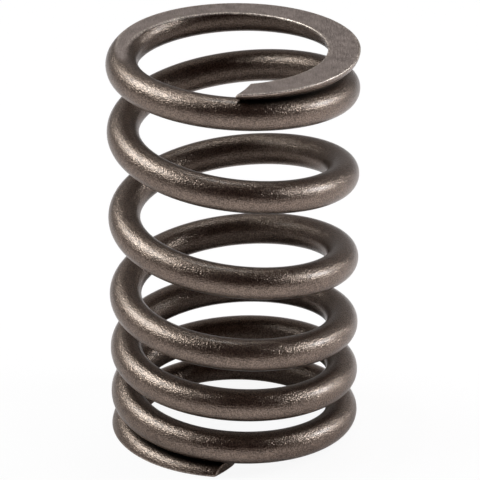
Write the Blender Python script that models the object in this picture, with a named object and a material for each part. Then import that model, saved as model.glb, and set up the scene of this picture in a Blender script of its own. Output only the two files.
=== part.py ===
"""Engine valve spring: one round wire, wound left-handed, with closed and ground ends.

Metres, +Z up. The spring stands on its lower ground face at Z = 0 and its axis is the Z axis.
The turns are close together at the lower end and open out towards the top, so the spring
gets stiffer as it is pressed. Both end turns close down onto their neighbours, and both ends
are ground flat and square to the axis, which thins the wire out towards its tips.
"""

import math

import bmesh
import bpy

# Wire and coil
WIRE = 0.0040
COIL_MEAN_DIAMETER = 0.02736
TURNS = 6.97

# Where the wire starts, counted from +X, and which way it climbs: -1 is a left-hand coil
LOWER_TIP_ANGLE = math.radians(265.0)
HAND = -1

# Clear gaps between neighbouring turns
CLOSE_GAP = 0.0012
WIDENING_GAP = 0.00285
OPEN_GAP = 0.0075
TIP_GAP = 0.0001

# How far along the wire each stretch of the winding goes, in turns
CLOSED_LOWER_TURNS = 0.62
CLOSE_WOUND_TURNS = 1.97
OPENING_TURNS = 1.39
CLOSING_UPPER_TURNS = 0.48
CLOSED_UPPER_TURNS = 0.83

# Ground and sheared ends
LOWER_TIP_THICKNESS = 0.00133
UPPER_TIP_THICKNESS = 0.00114
SHEAR_SLANT = math.radians(32.0)

# Fineness of the mesh
SECTION_SIDES = 16
STEPS_PER_TURN = 40

COIL_RADIUS = COIL_MEAN_DIAMETER / 2
WIRE_RADIUS = WIRE / 2
OUTER_DIAMETER = COIL_MEAN_DIAMETER + WIRE
WELD_DISTANCE = 1e-6


def stretches(lower_pitch, upper_pitch):
    """The winding as pairs of turn and pitch there. The pitch runs evenly from each to the next."""
    close_from = CLOSED_LOWER_TURNS
    opening_from = close_from + CLOSE_WOUND_TURNS
    closed_from = TURNS - CLOSED_UPPER_TURNS
    return [
        (0.0, lower_pitch),
        (close_from, WIRE + CLOSE_GAP),
        (opening_from, WIRE + WIDENING_GAP),
        (opening_from + OPENING_TURNS, WIRE + OPEN_GAP),
        (closed_from - CLOSING_UPPER_TURNS, WIRE + OPEN_GAP),
        (closed_from, upper_pitch),
        (TURNS, upper_pitch),
    ]


def climb(winding, turn):
    """How far the wire has climbed after a number of turns."""
    height = 0.0
    for (start, start_pitch), (end, end_pitch) in zip(winding, winding[1:]):
        reached = min(max(turn, start), end)
        pitch = start_pitch + (end_pitch - start_pitch) * (reached - start) / (end - start)
        height += (start_pitch + pitch) / 2 * (reached - start)
    return height


def closing_pitch(turn_climb):
    """The pitch at a tip that leaves only the tip gap to the next turn.

    turn_climb gives the climb of the end turn for a tip pitch. It grows evenly with that pitch.
    """
    at_none = turn_climb(0.0)
    at_wire = turn_climb(WIRE)
    return WIRE * (WIRE + TIP_GAP - at_none) / (at_wire - at_none)


def lower_turn_climb(pitch):
    return climb(stretches(pitch, WIRE), 1.0)


def upper_turn_climb(pitch):
    winding = stretches(WIRE, pitch)
    return climb(winding, TURNS) - climb(winding, TURNS - 1.0)


WINDING = stretches(closing_pitch(lower_turn_climb), closing_pitch(upper_turn_climb))
FIRST_HEIGHT = LOWER_TIP_THICKNESS - WIRE_RADIUS
LAST_HEIGHT = FIRST_HEIGHT + climb(WINDING, TURNS)
FREE_HEIGHT = LAST_HEIGHT - WIRE_RADIUS + UPPER_TIP_THICKNESS


def wire_angle(turn):
    return LOWER_TIP_ANGLE + HAND * math.tau * turn


def wire_centre(turn):
    """The middle of the wire after a number of turns from the lower tip."""
    angle = wire_angle(turn)
    height = FIRST_HEIGHT + climb(WINDING, turn)
    return (COIL_RADIUS * math.cos(angle), COIL_RADIUS * math.sin(angle), height)


def clear_scene():
    for thing in list(bpy.data.objects):
        bpy.data.objects.remove(thing, do_unlink=True)


def new_collection(name):
    collection = bpy.data.collections.new(name)
    bpy.context.scene.collection.children.link(collection)
    return collection


def shot_peened_steel():
    """Dark bronze-brown spring steel, with the even, fine grain of shot peening."""
    material = bpy.data.materials.new("shot_peened_spring_steel")
    material.use_nodes = True
    shader = material.node_tree.nodes["Principled BSDF"]
    shader.inputs["Base Color"].default_value = (0.26, 0.21, 0.18, 1.0)
    shader.inputs["Metallic"].default_value = 1.0
    shader.inputs["Roughness"].default_value = 0.42
    material.diffuse_color = (0.26, 0.21, 0.18, 1.0)
    return material


def wound_wire(collection):
    """The whole wire as a bevelled curve, before its ends are sheared and ground."""
    curve = bpy.data.curves.new("wound_wire", "CURVE")
    curve.dimensions = "3D"
    curve.twist_mode = "Z_UP"
    curve.bevel_depth = WIRE_RADIUS
    curve.bevel_resolution = SECTION_SIDES // 2 - 2
    curve.use_fill_caps = True
    steps = round(TURNS * STEPS_PER_TURN)
    path = curve.splines.new("POLY")
    path.points.add(steps)
    for step, point in enumerate(path.points):
        point.co = (*wire_centre(TURNS * step / steps), 1.0)
    wire = bpy.data.objects.new("wound_wire", curve)
    collection.objects.link(wire)
    return wire


def shear(corner):
    """Slides a corner of an end cap along the wire onto the slanted cut of the wire shear."""
    tip_turn = 0.0 if corner.co.z < LAST_HEIGHT / 2 else TURNS
    outwards = corner.co.xy.length
    slide = (outwards - COIL_RADIUS) * math.tan(SHEAR_SLANT)
    angle = wire_angle(tip_turn + slide / (math.tau * COIL_RADIUS))
    corner.co.x = outwards * math.cos(angle)
    corner.co.y = outwards * math.sin(angle)


def sheared_mesh(wire, name):
    """The wire as a closed mesh with both tips sheared. Only its end caps have triangles."""
    graph = bpy.context.evaluated_depsgraph_get()
    mesh = bpy.data.meshes.new_from_object(wire.evaluated_get(graph))
    mesh.name = name
    shape = bmesh.new()
    shape.from_mesh(mesh)
    bmesh.ops.remove_doubles(shape, verts=shape.verts, dist=WELD_DISTANCE)
    cap_faces = [face for face in shape.faces if len(face.verts) == 3]
    for corner in {corner for face in cap_faces for corner in face.verts}:
        shear(corner)
    shape.to_mesh(mesh)
    shape.free()
    mesh.shade_smooth()
    mesh.set_sharp_from_angle(angle=math.radians(40.0))
    return mesh


def grinding_block(name, low, high, collection):
    """A cutter wider than the spring, which takes off all the wire between two heights."""
    width = OUTER_DIAMETER + 4 * WIRE
    shape = bmesh.new()
    bmesh.ops.create_cube(shape, size=1.0)
    bmesh.ops.scale(shape, vec=(width, width, high - low), verts=shape.verts)
    bmesh.ops.translate(shape, vec=(0.0, 0.0, (low + high) / 2), verts=shape.verts)
    mesh = bpy.data.meshes.new(name)
    shape.to_mesh(mesh)
    shape.free()
    block = bpy.data.objects.new(name, mesh)
    block.display_type = "WIRE"
    block.hide_render = True
    collection.objects.link(block)
    return block


def grind(spring, block):
    cut = spring.modifiers.new(block.name, "BOOLEAN")
    cut.operation = "DIFFERENCE"
    cut.solver = "EXACT"
    cut.object = block


def valve_spring(parts, cutters):
    wire = wound_wire(parts)
    spring = bpy.data.objects.new("valve_spring", sheared_mesh(wire, "valve_spring"))
    spring.matrix_world = wire.matrix_world
    bpy.data.objects.remove(wire, do_unlink=True)
    parts.objects.link(spring)
    spring.data.materials.append(shot_peened_steel())
    grind(spring, grinding_block("lower_grind", -2 * WIRE, 0.0, cutters))
    grind(spring, grinding_block("upper_grind", FREE_HEIGHT, FREE_HEIGHT + 2 * WIRE, cutters))
    return spring


def main():
    clear_scene()
    parts = new_collection("engine_valve_spring")
    cutters = new_collection("cutters")
    valve_spring(parts, cutters)


main()
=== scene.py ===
"""Looks of the engine valve spring: shot-peened spring steel with ground ends, on a white sheet."""

import math

import bpy
import numpy as np
from mathutils import Matrix, Vector


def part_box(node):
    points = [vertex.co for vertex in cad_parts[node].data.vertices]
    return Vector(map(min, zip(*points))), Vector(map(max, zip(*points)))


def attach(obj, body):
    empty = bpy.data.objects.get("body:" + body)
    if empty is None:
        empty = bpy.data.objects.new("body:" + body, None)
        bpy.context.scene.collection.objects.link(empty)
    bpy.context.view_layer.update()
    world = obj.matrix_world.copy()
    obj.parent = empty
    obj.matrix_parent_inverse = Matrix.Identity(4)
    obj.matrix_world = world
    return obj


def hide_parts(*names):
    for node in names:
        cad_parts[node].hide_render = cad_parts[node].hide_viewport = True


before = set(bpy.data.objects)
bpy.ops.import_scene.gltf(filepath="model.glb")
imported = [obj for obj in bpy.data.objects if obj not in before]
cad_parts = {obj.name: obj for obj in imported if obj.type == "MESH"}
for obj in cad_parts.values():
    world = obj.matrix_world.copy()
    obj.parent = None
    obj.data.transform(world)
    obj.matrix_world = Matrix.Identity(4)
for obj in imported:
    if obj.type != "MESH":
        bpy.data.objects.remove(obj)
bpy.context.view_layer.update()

MM = 0.001

# The wire and its winding, as in the CAD model. Gaps are clear distances between neighbouring turns
WIRE = 4.0 * MM
TURNS = 6.97
LOWER_TIP_ANGLE = math.radians(265.0)
HAND = -1
CLOSE_GAP = 1.2 * MM
WIDENING_GAP = 2.85 * MM
OPEN_GAP = 7.5 * MM
TIP_GAP = 0.1 * MM
CLOSED_LOWER_TURNS = 0.62
CLOSE_WOUND_TURNS = 1.97
OPENING_TURNS = 1.39
CLOSING_UPPER_TURNS = 0.48
CLOSED_UPPER_TURNS = 0.83
LOWER_TIP_THICKNESS = 1.33 * MM
SHEAR_SLANT = math.radians(32.0)

# What the solid leaves out: the lean of the upper cut, the last bit of each tip, and the worn edges.
# The slant of a cut fades out along the wire over the shear's reach. A ground edge is rounded by no
# more than the given share of the section's radius, and the middle of its rounding lies at 45 degrees.
SHEAR_LEAN = math.radians(25.0)
SHEAR_REACH_TURNS = 0.08
UPPER_TIP_REACH = 0.08 * MM
LOWER_TIP_REACH = 0.2 * MM
TIP_ROUND = 0.24 * MM
GROUND_EDGE_ROUND = 0.12 * MM
WIDEST_EDGE_ROUND = 0.4
EDGE_MIDDLE = 0.7

# Where the steel is worn and painted with a highlight, painted with shade between close turns,
# ground, and on the coil's inner side. A ground edge is fully worn and highlighted where its face
# is at least this wide to each side of the wire's middle.
WEAR_AND_GLINT_REACH = 0.26 * MM
FULL_WEAR_AND_GLINT_WIDTH = 1.0 * MM
# Painted shade darkens the wire up to this far from a turn that nearly touches it
CREVICE_SHADE_GAP = 1.5 * MM
GROUND_FADE = 0.33 * MM
INNER_START = 0.35

# Fineness of the mesh. Each radian of a bend counts for this much extra length in a section
HALF_SECTION_STEPS = 28
STEPS_PER_TURN = 180
TIP_STEPS = 5
BEND_LENGTH = 1.0 * MM

# The solid's facets make its box slightly narrow, and the round wire is drawn in to stay inside it
WIRE_RADIUS = WIRE / 2
FREE_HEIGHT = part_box("valve_spring")[1].z
COIL_RADIUS = min(abs(side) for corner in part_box("valve_spring") for side in corner.xy) - WIRE_RADIUS
TIP_TURNS = TIP_ROUND / (math.tau * COIL_RADIUS)

# The camera, fitted to the spring's outline in the photograph. Its lens and sensor are in millimetres
CAMERA_DISTANCE = 461.8 * MM
CAMERA_ELEVATION = math.radians(24.44)
CAMERA_TURN = math.radians(0.099)
CAMERA_ROLL = math.radians(-0.214)
CAMERA_RANGE = (0.01, 20.0)
TARGET_HEIGHT = 25.49 * MM
LENS = 276.3
SENSOR = 36.0

# The steel's colours, which are linear
STEEL_DARK = (0.050, 0.0355, 0.0265)
STEEL_PALE = (0.290, 0.217, 0.173)
GROUND_DARK = (0.160, 0.133, 0.120)
GROUND_PALE = (0.515, 0.424, 0.385)
GRAZING_TINT = (0.66, 0.64, 0.63)
# Pale steel on the ground edges and tips, partly real wear and partly a painted highlight
WORN_AND_GLINTING_STEEL = (0.84, 0.73, 0.62)
# Near-black painted shade between turns that nearly touch
CREVICE_SHADE_COLOUR = (0.012, 0.009, 0.0065)

# The sizes of its patterns
GRAIN_SIZE = 0.165 * MM
DENT_SIZE = 0.19 * MM
GROUND_GRAIN_SIZE = 0.13 * MM
CHIP_SIZE = 0.24 * MM
MOTTLE_SIZE = 1.6 * MM
STREAK_SIZE = 1.2 * MM
STREAK_STRETCH = (9.0, 1.0, 1.0)

# Its relief. The grain adds to the dents, and the streaks to the ground grain
DENT_DEPTH = 0.038 * MM
GRAIN_RELIEF = 1.3
GROUND_STREAK_DEPTH = 0.012 * MM
STREAK_RELIEF = 1.5

# Its gloss
STEEL_ROUGHNESS = (0.278, 0.298)
GROUND_ROUGHNESS = (0.40, 0.52)
# How rough the steel is where the crevice shade is painted
CREVICE_SHADE_ROUGHNESS = 0.7
OIL_WEIGHT = 0.4
OIL_ROUGHNESS = 0.28
OIL_IOR = 1.5

# What is left of the colour, the oil and the dents on the coil's inner side. The darker colour there is
# painted shade
INNER_PAINTED_SHADE = 0.74
INNER_OIL = 0.45
INNER_DENTS = 0.9

# The values that most of a pattern lies between, and the tones that they give between dark and pale
NOISE_RANGE = (0.3, 0.7)
GRAIN_RANGE = (0.36, 0.64)
GRAIN_TONE = (-0.31, 0.31)
MOTTLE_TONE = (0.42, 0.58)
GROUND_GRAIN_RANGE = (0.35, 0.65)
GROUND_GRAIN_TONE = (0.34, 0.66)
GROUND_CLOUD_TONE = (-0.15, 0.15)
GROUND_STREAK_TONE = (-0.2, 0.2)
CHIP_RANGE = (0.47, 0.62)
CHIP_TONE = (0.06, 1.0)

# The shares of ground face and of painted crevice shade at which each begins and is complete, and at
# which the painted shade leaves no oil
GROUND_RANGE = (0.15, 0.85)
GROUND_RAGGEDNESS = (-0.15, 0.15)
CREVICE_SHADE_RANGE = (0.25, 0.8)
OIL_ENDS = 0.5

# The floor, which glows as white paper for the camera and a little in gloss
WHITE = (1.0, 1.0, 1.0)
FLOOR_SIZE = 4.0
PAPER = (0.80, 0.755, 0.748)
VIEW_GLOW = 0.92
GLOSS_GLOW = 0.06

# The room, with the azimuth and elevation of its dark part's middle, and where that part fades out
DARK_CENTRE = (math.radians(16.0), math.radians(35.0))
DARK_INNER = math.radians(33.0)
DARK_OUTER = math.radians(82.0)
ROOM_DARK = (0.044, 0.0225, 0.0175)
ROOM_PALE = (0.36, 0.347, 0.343)

# The lamps, with their angles in degrees
SOFTBOX_DISTANCE = 0.8
SOFTBOXES = (
    {"name": "left_softbox", "across": -41.0, "over": 100.5,
     "length": 0.68, "width": 0.41, "level": 9.5, "colour": (0.895, 0.97, 1.0)},
    {"name": "right_softbox", "across": 64.5, "over": 104.0,
     "length": 0.26, "width": 0.22, "level": 27.5, "colour": (0.85, 0.935, 1.0)},
    {"name": "rear_softbox", "across": 4.0, "over": 108.0,
     "length": 0.22, "width": 0.22, "level": 10.0, "colour": (0.895, 0.97, 1.0)},
)
FILL_PLACE = (0.105, 0.0, 0.12)
FILL_SIZE = 0.08
FILL_POWER = 0.1


class Winding:
    """The path of the wire's middle. The pitch runs evenly between stations along the wire."""

    def __init__(self, lower_pitch, upper_pitch):
        close_from = CLOSED_LOWER_TURNS
        opening_from = close_from + CLOSE_WOUND_TURNS
        closed_from = TURNS - CLOSED_UPPER_TURNS
        self.turns = np.array([
            0.0, close_from, opening_from, opening_from + OPENING_TURNS,
            closed_from - CLOSING_UPPER_TURNS, closed_from, TURNS,
        ])
        self.pitches = np.array([
            lower_pitch, WIRE + CLOSE_GAP, WIRE + WIDENING_GAP, WIRE + OPEN_GAP,
            WIRE + OPEN_GAP, upper_pitch, upper_pitch,
        ])
        stretch_climbs = np.diff(self.turns) * (self.pitches[1:] + self.pitches[:-1]) / 2
        self.heights = np.concatenate([[0.0], np.cumsum(stretch_climbs)])

    def pitch(self, turn):
        return np.interp(turn, self.turns, self.pitches)

    def climb(self, turn):
        """How far the wire has climbed after a number of turns from the lower tip."""
        inside = np.clip(turn, 0.0, TURNS)
        last = len(self.turns) - 2
        station = np.clip(np.searchsorted(self.turns, inside, side="right") - 1, 0, last)
        mean_pitch = (self.pitches[station] + self.pitch(inside)) / 2
        return self.heights[station] + mean_pitch * (inside - self.turns[station])


def closing_pitch(end_climb):
    """The pitch at a tip that leaves only the tip gap to the next turn.

    end_climb gives the climb of the end turn for a tip pitch. It grows evenly with that pitch.
    """
    at_none = end_climb(0.0)
    at_wire = end_climb(WIRE)
    return WIRE * (WIRE + TIP_GAP - at_none) / (at_wire - at_none)


def lower_climb(pitch):
    return Winding(pitch, WIRE).climb(1.0)


def upper_climb(pitch):
    winding = Winding(WIRE, pitch)
    return winding.climb(TURNS) - winding.climb(TURNS - 1.0)


def half_profile(radius, cut, fillet):
    """Points from the bottom of a round section, up its outer side, to the middle of its top.

    The section is cut off level at a height above its middle, with that edge rounded. Points
    lie closer where the outline bends more. Returns their outward and upward offsets, and how
    wide the flat top is to each side.
    """
    cut = min(cut, radius)
    flat = math.sqrt(max((radius - fillet) ** 2 - (cut - fillet) ** 2, 0.0))
    meets = math.atan2(cut - fillet, flat)
    arc = (radius + BEND_LENGTH) * (meets + math.pi / 2)
    bend = (fillet + BEND_LENGTH) * (math.pi / 2 - meets)
    along = np.linspace(0.0, 1.0, HALF_SECTION_STEPS + 1) * (arc + bend + flat)
    on_arc = np.minimum(along, arc) / (radius + BEND_LENGTH) - math.pi / 2
    on_bend = meets + np.clip(along - arc, 0.0, bend) / (fillet + BEND_LENGTH)
    on_flat = np.maximum(along - arc - bend, 0.0)
    past_arc = along > arc
    out = np.where(past_arc, flat + fillet * np.cos(on_bend) - on_flat, radius * np.cos(on_arc))
    up = np.where(past_arc, cut - fillet + fillet * np.sin(on_bend), radius * np.sin(on_arc))
    return out, up, flat


def section(radius, lower_cut, upper_cut):
    """A closed outline of the wire's section, cut off level below or above, or at neither.

    Returns its points' outward and upward offsets, and at each how rubbed the edge is and how much painted
    highlight it has.
    """
    cut_below = lower_cut > -radius
    height = -lower_cut if cut_below else upper_cut
    fillet = min(GROUND_EDGE_ROUND, WIDEST_EDGE_ROUND * radius)
    out, up, flat = half_profile(radius, height, fillet)
    edge_out = flat + EDGE_MIDDLE * fillet
    edge_up = height - (1.0 - EDGE_MIDDLE) * fillet
    from_edge = np.hypot(out - edge_out, up - edge_up)
    # Worn edge, also painted pale as a highlight along the rim
    wear_and_glint = np.clip(1.0 - from_edge / WEAR_AND_GLINT_REACH, 0.0, 1.0) * min(1.0, flat / FULL_WEAR_AND_GLINT_WIDTH)
    if cut_below:
        out, up, wear_and_glint = out[::-1], -up[::-1], wear_and_glint[::-1]
    return (
        np.concatenate([out, -out[-2:0:-1]]),
        np.concatenate([up, up[-2:0:-1]]),
        np.concatenate([wear_and_glint, wear_and_glint[-2:0:-1]]),
    )


def ring_turns():
    """How many turns from the lower tip each ring lies. They are closer where a tip is rounded off."""
    sweep = np.linspace(0.0, math.pi / 2, TIP_STEPS, endpoint=False)
    rounded = TIP_TURNS * (1.0 - np.cos(sweep))
    middle = np.linspace(TIP_TURNS, TURNS - TIP_TURNS, round(TURNS * STEPS_PER_TURN))
    return np.concatenate([rounded, middle, (TURNS - rounded)[::-1]])


def wire_ring(winding, turn):
    """A ring of points round the wire, and the numbers by name that the mesh keeps at them."""
    from_tip = min(turn, TURNS - turn) / TIP_TURNS
    inset = tip_inset(from_tip)
    centre_height = LOWER_TIP_THICKNESS - WIRE_RADIUS + winding.climb(turn)
    slope = math.atan2(winding.pitch(turn), math.tau * COIL_RADIUS)
    lower_cut = -centre_height / math.cos(slope) + inset
    upper_cut = (FREE_HEIGHT - centre_height) / math.cos(slope) - inset
    out, up, wear_and_glint = section(WIRE_RADIUS - inset, lower_cut, upper_cut)

    along = HAND * (shear_slide(turn, out, up, upper_cut) - up * math.sin(slope))
    angle = LOWER_TIP_ANGLE + HAND * math.tau * turn + along / COIL_RADIUS
    reach = COIL_RADIUS + out
    height = centre_height + up * math.cos(slope)
    points = np.stack([reach * np.cos(angle), reach * np.sin(angle), height], axis=1)

    under_plane = np.minimum(height, FREE_HEIGHT - height)
    return points, {
        # Worn edges and tips, partly painted pale as a highlight
        "edge_wear": np.maximum(wear_and_glint, tip_wear_and_glint(from_tip)),
        # Painted shade, darkest where another turn nearly touches the wire
        "grime": grime(winding, turn, out, up) * min(1.0, from_tip),
        "inner_side": np.clip(INNER_START - out / WIRE_RADIUS, 0.0, 1.0),
        "ground_face": np.clip(1.0 - under_plane / GROUND_FADE, 0.0, 1.0),
    }


def shear_slide(turn, out, up, upper_cut):
    """How far a ring's points slide along the wire onto the slanted cut of the nearer tip."""
    tip_share = max(0.0, 1.0 - min(turn, TURNS - turn) / SHEAR_REACH_TURNS)
    if turn > TURNS / 2:
        lean = (upper_cut - up) * math.tan(SHEAR_LEAN) + UPPER_TIP_REACH
    else:
        lean = -LOWER_TIP_REACH
    return tip_share * (out * math.tan(SHEAR_SLANT) + lean)


def grime(winding, turn, out, up):
    """How much painted shade darkens the wire, deep between it and a turn that nearly touches it."""
    share = np.zeros(len(up))
    for step in (1.0, -1.0):
        other = turn + step
        if 0.0 <= other <= TURNS:
            apart = winding.climb(other) - winding.climb(turn)
            clear = np.hypot(out, apart - up) - WIRE_RADIUS
            share = np.maximum(share, np.clip(1.0 - clear / CREVICE_SHADE_GAP, 0.0, 1.0))
    return share


def tip_inset(share):
    """How far the surface draws in near a tip. The share is the distance to it over its rounding."""
    if share >= 1.0:
        return 0.0
    return TIP_ROUND * (1.0 - math.sqrt(1.0 - (1.0 - share) ** 2))


def tip_wear_and_glint(share):
    """How rubbed a tip's rounded edge is, and how much painted highlight it has. Both are most halfway
    round, and not on the sheared face.
    """
    return math.sin(2.0 * math.acos(1.0 - min(share, 1.0)))


def tube_mesh(name, rings):
    """A closed tube through rings of points, with a fan over each end."""
    sides = len(rings[0])
    points = [tuple(point) for ring in rings for point in ring]
    faces = []
    for here in range(0, (len(rings) - 1) * sides, sides):
        there = here + sides
        for side in range(sides):
            after = (side + 1) % sides
            faces.append((here + side, here + after, there + after, there + side))
    for ring, turned in ((0, False), (len(rings) - 1, True)):
        middle = len(points)
        points.append(tuple(np.mean(rings[ring], axis=0)))
        for side in range(sides):
            corner = ring * sides + side
            after = ring * sides + (side + 1) % sides
            faces.append((middle, corner, after) if turned else (middle, after, corner))
    mesh = bpy.data.meshes.new(name)
    mesh.from_pydata(points, [], faces)
    mesh.validate()
    return mesh


def keep_on_mesh(mesh, name, values):
    """Keeps a number at each ring point of the mesh. The two middle points get their ring's mean."""
    ends = np.array([np.mean(values[0]), np.mean(values[-1])])
    numbers = mesh.attributes.new(name, "FLOAT", "POINT")
    numbers.data.foreach_set("value", np.concatenate([*values, ends]).astype(np.float32))


def add(tree, kind, inputs=None, **settings):
    """A new node with its settings and its inputs, each a value or another node's output."""
    node = tree.nodes.new(kind)
    for name, value in settings.items():
        setattr(node, name, value)
    for name, value in (inputs or {}).items():
        if isinstance(value, bpy.types.NodeSocket):
            tree.links.new(value, node.inputs[name])
        else:
            node.inputs[name].default_value = value
    return node


def remap(tree, value, start, result, smooth=False):
    """A value taken from the start range to the result range, and kept inside it."""
    return add(tree, "ShaderNodeMapRange", {
        "Value": value, "From Min": start[0], "From Max": start[1],
        "To Min": result[0], "To Max": result[1],
    }, interpolation_type="SMOOTHSTEP" if smooth else "LINEAR").outputs["Result"]


def less_inside(tree, inner, share):
    """A factor of 1 on the coil's outer side, and of the share given on its inner side."""
    return remap(tree, inner, (0.0, 1.0), (1.0, share))


def opaque(colour):
    """A triple with full opacity. Another node's output stays as it is."""
    return colour if isinstance(colour, bpy.types.NodeSocket) else (*colour, 1.0)


def blend_colours(tree, share, first, second):
    """Two colours mixed by a share. Each is a triple or another node's output."""
    return add(tree, "ShaderNodeMix", {
        0: share, 6: opaque(first), 7: opaque(second),
    }, data_type="RGBA").outputs[2]


def mixed(tree, share, first, second):
    """Two numbers mixed by a share."""
    return add(tree, "ShaderNodeMix", {0: share, 2: first, 3: second}).outputs[0]


def arithmetic(tree, operation, first, second=0.0, third=0.0):
    return add(tree, "ShaderNodeMath", {0: first, 1: second, 2: third}, operation=operation).outputs[0]


def noise(tree, place, size, detail, roughness):
    """Soft spots about as wide as the size given."""
    return add(tree, "ShaderNodeTexNoise", {
        "Vector": place, "Scale": 1.0 / size, "Detail": detail, "Roughness": roughness,
    }).outputs["Fac"]


def cells(tree, place, size):
    """Round cells about as wide as the size given, each deepest in its middle."""
    return add(tree, "ShaderNodeTexVoronoi", {
        "Vector": place, "Scale": 1.0 / size, "Randomness": 1.0,
    }, feature="F1").outputs["Distance"]


def kept(tree, name):
    """A number that the mesh keeps at its points."""
    return add(tree, "ShaderNodeAttribute", attribute_name=name).outputs["Fac"]


class SteelPatterns:
    """The patterns and kept numbers that the steel's colour, gloss, relief and oil share."""

    def __init__(self, tree):
        self.place = add(tree, "ShaderNodeTexCoord").outputs["Object"]
        stretched = add(tree, "ShaderNodeMapping", {"Vector": self.place, "Scale": STREAK_STRETCH})
        self.grain = noise(tree, self.place, GRAIN_SIZE, detail=1.0, roughness=0.5)
        self.mottle = noise(tree, self.place, MOTTLE_SIZE, detail=3.0, roughness=0.55)
        self.ground_grain = noise(tree, self.place, GROUND_GRAIN_SIZE, detail=1.0, roughness=0.5)
        self.streaks = noise(tree, stretched.outputs["Vector"], STREAK_SIZE, detail=2.0, roughness=0.6)
        self.inner = kept(tree, "inner_side")
        # How close the next turns come, which sets the painted crevice shade
        self.crevice_closeness = kept(tree, "grime")
        self.crevice_shade_share = remap(tree, self.crevice_closeness, CREVICE_SHADE_RANGE, (0.0, 1.0), smooth=True)
        raggedness = remap(tree, self.mottle, NOISE_RANGE, GROUND_RAGGEDNESS)
        ragged = arithmetic(tree, "ADD", kept(tree, "ground_face"), raggedness)
        self.ground = remap(tree, ragged, GROUND_RANGE, (0.0, 1.0), smooth=True)


def peened_colour(tree, steel):
    """Dark bronze-brown with a fine speckle, and darker on the coil's inner side as painted shade."""
    fine_tone = remap(tree, steel.grain, GRAIN_RANGE, GRAIN_TONE)
    broad_tone = remap(tree, steel.mottle, NOISE_RANGE, MOTTLE_TONE)
    tone = arithmetic(tree, "ADD", fine_tone, broad_tone)
    return add(tree, "ShaderNodeVectorMath", {
        "Vector": blend_colours(tree, tone, STEEL_DARK, STEEL_PALE),
        # Painted shade darkens the colour on the coil's inner side
        "Scale": less_inside(tree, steel.inner, INNER_PAINTED_SHADE),
    }, operation="SCALE").outputs["Vector"]


def ground_colour(tree, steel):
    """Paler and greyer, with faint streaks along the grinding path."""
    speckle = remap(tree, steel.ground_grain, GROUND_GRAIN_RANGE, GROUND_GRAIN_TONE)
    cloud = remap(tree, steel.mottle, NOISE_RANGE, GROUND_CLOUD_TONE)
    streak = remap(tree, steel.streaks, NOISE_RANGE, GROUND_STREAK_TONE)
    tone = arithmetic(tree, "ADD", speckle, arithmetic(tree, "ADD", cloud, streak))
    return blend_colours(tree, tone, GROUND_DARK, GROUND_PALE)


def steel_colour(tree, steel):
    """Peened or ground steel, bright chips and painted highlight on rubbed edges, black painted shade in
    crevices.
    """
    colour = blend_colours(tree, steel.ground, peened_colour(tree, steel), ground_colour(tree, steel))
    chipping = noise(tree, steel.place, CHIP_SIZE, detail=2.0, roughness=0.6)
    chips = remap(tree, chipping, CHIP_RANGE, CHIP_TONE)
    # Worn edges painted pale, partly real wear and partly a painted highlight
    worn_and_glinting = arithmetic(tree, "MULTIPLY", kept(tree, "edge_wear"), chips)
    # Near-black painted crevice shade goes over everything
    return blend_colours(tree, steel.crevice_shade_share, blend_colours(tree, worn_and_glinting, colour, WORN_AND_GLINTING_STEEL), CREVICE_SHADE_COLOUR)


def steel_roughness(tree, steel):
    peened = remap(tree, steel.mottle, NOISE_RANGE, STEEL_ROUGHNESS)
    ground = remap(tree, steel.streaks, NOISE_RANGE, GROUND_ROUGHNESS)
    # Dull where the crevice shade is painted
    return mixed(tree, steel.crevice_shade_share, mixed(tree, steel.ground, peened, ground), CREVICE_SHADE_ROUGHNESS)


def steel_relief(tree, steel):
    """The overlapping small dents of shot peening, or the fine scratches of grinding."""
    dents = arithmetic(tree, "MULTIPLY_ADD", steel.grain, GRAIN_RELIEF, cells(tree, steel.place, DENT_SIZE))
    depth = arithmetic(tree, "MULTIPLY", less_inside(tree, steel.inner, INNER_DENTS), DENT_DEPTH)
    peened = arithmetic(tree, "MULTIPLY", dents, depth)
    scratches = arithmetic(tree, "MULTIPLY_ADD", steel.streaks, STREAK_RELIEF, steel.ground_grain)
    ground = arithmetic(tree, "MULTIPLY", scratches, GROUND_STREAK_DEPTH)
    height = mixed(tree, steel.ground, peened, ground)
    bump = add(tree, "ShaderNodeBump", {"Height": height, "Distance": 1.0, "Strength": 1.0})
    return bump.outputs["Normal"]


def oil_film(tree, steel):
    """How much oil shows. There is none on ground faces or under the painted crevice shade, and less on the
    inner side.
    """
    bare = arithmetic(tree, "SUBTRACT", 1.0, steel.ground)
    clean = remap(tree, steel.crevice_closeness, (0.0, OIL_ENDS), (OIL_WEIGHT, 0.0))
    drained = less_inside(tree, steel.inner, INNER_OIL)
    return arithmetic(tree, "MULTIPLY", arithmetic(tree, "MULTIPLY", clean, bare), drained)


def spring_steel():
    """Dark oiled steel, shot-peened, and paler and duller where it is ground."""
    material = bpy.data.materials.new("spring_steel")
    material.use_nodes = True
    tree = material.node_tree
    shader = tree.nodes["Principled BSDF"]
    steel = SteelPatterns(tree)
    tree.links.new(steel_colour(tree, steel), shader.inputs["Base Color"])
    tree.links.new(steel_roughness(tree, steel), shader.inputs["Roughness"])
    tree.links.new(steel_relief(tree, steel), shader.inputs["Normal"])
    tree.links.new(oil_film(tree, steel), shader.inputs["Coat Weight"])
    shader.inputs["Metallic"].default_value = 1.0
    shader.inputs["Specular Tint"].default_value = (*GRAZING_TINT, 1.0)
    shader.inputs["Coat Roughness"].default_value = OIL_ROUGHNESS
    shader.inputs["Coat IOR"].default_value = OIL_IOR
    return material


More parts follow.
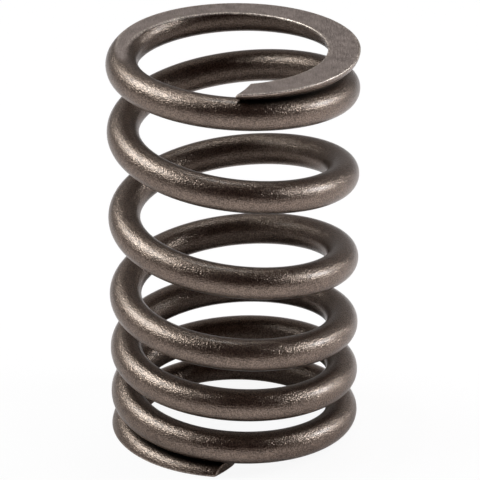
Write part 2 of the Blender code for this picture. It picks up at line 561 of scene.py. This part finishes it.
def make_spring():
    winding = Winding(closing_pitch(lower_climb), closing_pitch(upper_climb))
    rings, marks = zip(*(wire_ring(winding, turn) for turn in ring_turns()))
    mesh = tube_mesh("wound_wire", rings)
    for name in marks[0]:
        keep_on_mesh(mesh, name, [mark[name] for mark in marks])
    mesh.materials.append(spring_steel())
    mesh.shade_smooth()
    spring = bpy.data.objects.new("wound_wire", mesh)
    bpy.context.scene.collection.objects.link(spring)
    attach(spring, "root")
    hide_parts("valve_spring")


def make_camera():
    data = bpy.data.cameras.new("camera")
    data.lens = LENS
    data.sensor_width = SENSOR
    data.clip_start, data.clip_end = CAMERA_RANGE
    camera = bpy.data.objects.new("camera", data)
    bpy.context.scene.collection.objects.link(camera)
    side = Vector((1.0, 0.0, 0.0))
    back = direction(0.0, CAMERA_ELEVATION)
    axes = Matrix((side, back.cross(side), back)).transposed()
    roll = Matrix.Rotation(CAMERA_ROLL, 3, "Z")
    turn = Matrix.Rotation(-CAMERA_TURN, 3, "Y")
    place = Vector((0.0, 0.0, TARGET_HEIGHT)) + CAMERA_DISTANCE * back
    camera.matrix_world = Matrix.Translation(place) @ (axes @ roll @ turn).to_4x4()
    bpy.context.scene.camera = camera


def make_floor():
    """A white sheet. It glows for the camera, and a little in gloss, and keeps the spring's shadow."""
    bpy.ops.mesh.primitive_plane_add(size=FLOOR_SIZE, location=(0.0, 0.0, 0.0))
    floor = bpy.context.active_object
    floor.name = "floor"
    material = bpy.data.materials.new("white_sheet")
    material.use_nodes = True
    tree = material.node_tree
    tree.nodes.clear()
    paper = add(tree, "ShaderNodeBsdfDiffuse", {"Color": (*PAPER, 1.0)}).outputs[0]
    glow = add(tree, "ShaderNodeEmission", {"Color": (*WHITE, 1.0), "Strength": 1.0}).outputs[0]
    rays = add(tree, "ShaderNodeLightPath").outputs
    reflected = arithmetic(tree, "MAXIMUM", rays["Is Glossy Ray"], rays["Is Transmission Ray"])
    in_view = arithmetic(tree, "MULTIPLY", rays["Is Camera Ray"], VIEW_GLOW)
    share = arithmetic(tree, "MULTIPLY_ADD", reflected, GLOSS_GLOW, in_view)
    surface = add(tree, "ShaderNodeMixShader", {0: share, 1: paper, 2: glow}).outputs[0]
    add(tree, "ShaderNodeOutputMaterial", {"Surface": surface})
    floor.data.materials.append(material)


def direction(azimuth, elevation):
    """The unit vector to a place around the spring, from the front towards the right, and up."""
    level = math.cos(elevation)
    return Vector((math.sin(azimuth) * level, -math.cos(azimuth) * level, math.sin(elevation)))


def make_world():
    """A pale room, dark around and above the camera. The camera itself sees it white."""
    world = bpy.data.worlds.new("studio")
    world.use_nodes = True
    tree = world.node_tree
    way = add(tree, "ShaderNodeTexCoord").outputs["Generated"]
    towards_dark = add(tree, "ShaderNodeVectorMath", {
        0: way, 1: direction(*DARK_CENTRE),
    }, operation="DOT_PRODUCT").outputs["Value"]
    angle = arithmetic(tree, "ARCCOSINE", towards_dark)
    share = remap(tree, angle, (DARK_INNER, DARK_OUTER), (0.0, 1.0), smooth=True)
    room = blend_colours(tree, share, ROOM_DARK, ROOM_PALE)
    camera = add(tree, "ShaderNodeLightPath").outputs["Is Camera Ray"]
    background = tree.nodes["Background"]
    tree.links.new(blend_colours(tree, camera, room, WHITE), background.inputs["Color"])
    background.inputs["Strength"].default_value = 1.0
    bpy.context.scene.world = world


def add_lamp(name):
    """An area lamp that the camera doesn't see, and its data."""
    data = bpy.data.lights.new(name, "AREA")
    lamp = bpy.data.objects.new(name, data)
    bpy.context.scene.collection.objects.link(lamp)
    lamp.visible_camera = False
    return lamp, data


def make_softbox(name, across, over, length, width, level, colour):
    """An even oval lamp facing the spring, above it and to one side.

    Its place is the angle over the top from the front, and the angle across from there to the
    right. Its length runs from front to back. The level is its brightness against white.
    """
    across, over = math.radians(across), math.radians(over)
    upright = Vector((0.0, -math.cos(over), math.sin(over)))
    away = Vector((math.sin(across), 0.0, 0.0)) + math.cos(across) * upright
    lengthways = Vector((0.0, math.sin(over), math.cos(over)))
    facing = Matrix((lengthways, away.cross(lengthways), away)).transposed()
    place = Vector((0.0, 0.0, FREE_HEIGHT / 2)) + SOFTBOX_DISTANCE * away
    lamp, data = add_lamp(name)
    lamp.matrix_world = Matrix.Translation(place) @ facing.to_4x4()
    data.shape = "ELLIPSE"
    data.size = length
    data.size_y = width
    area = math.pi / 4 * length * width
    data.energy = level * math.pi * area
    data.color = colour


def make_floor_fill():
    """A small lamp above the floor to the right of the spring. Gloss doesn't show it."""
    lamp, data = add_lamp("floor_fill")
    lamp.location = FILL_PLACE
    lamp.visible_glossy = False
    data.size = FILL_SIZE
    data.energy = FILL_POWER


make_camera()
make_spring()
make_floor()
make_world()
for softbox in SOFTBOXES:
    make_softbox(**softbox)
make_floor_fill()
bpy.context.scene.view_settings.view_transform = "Standard"
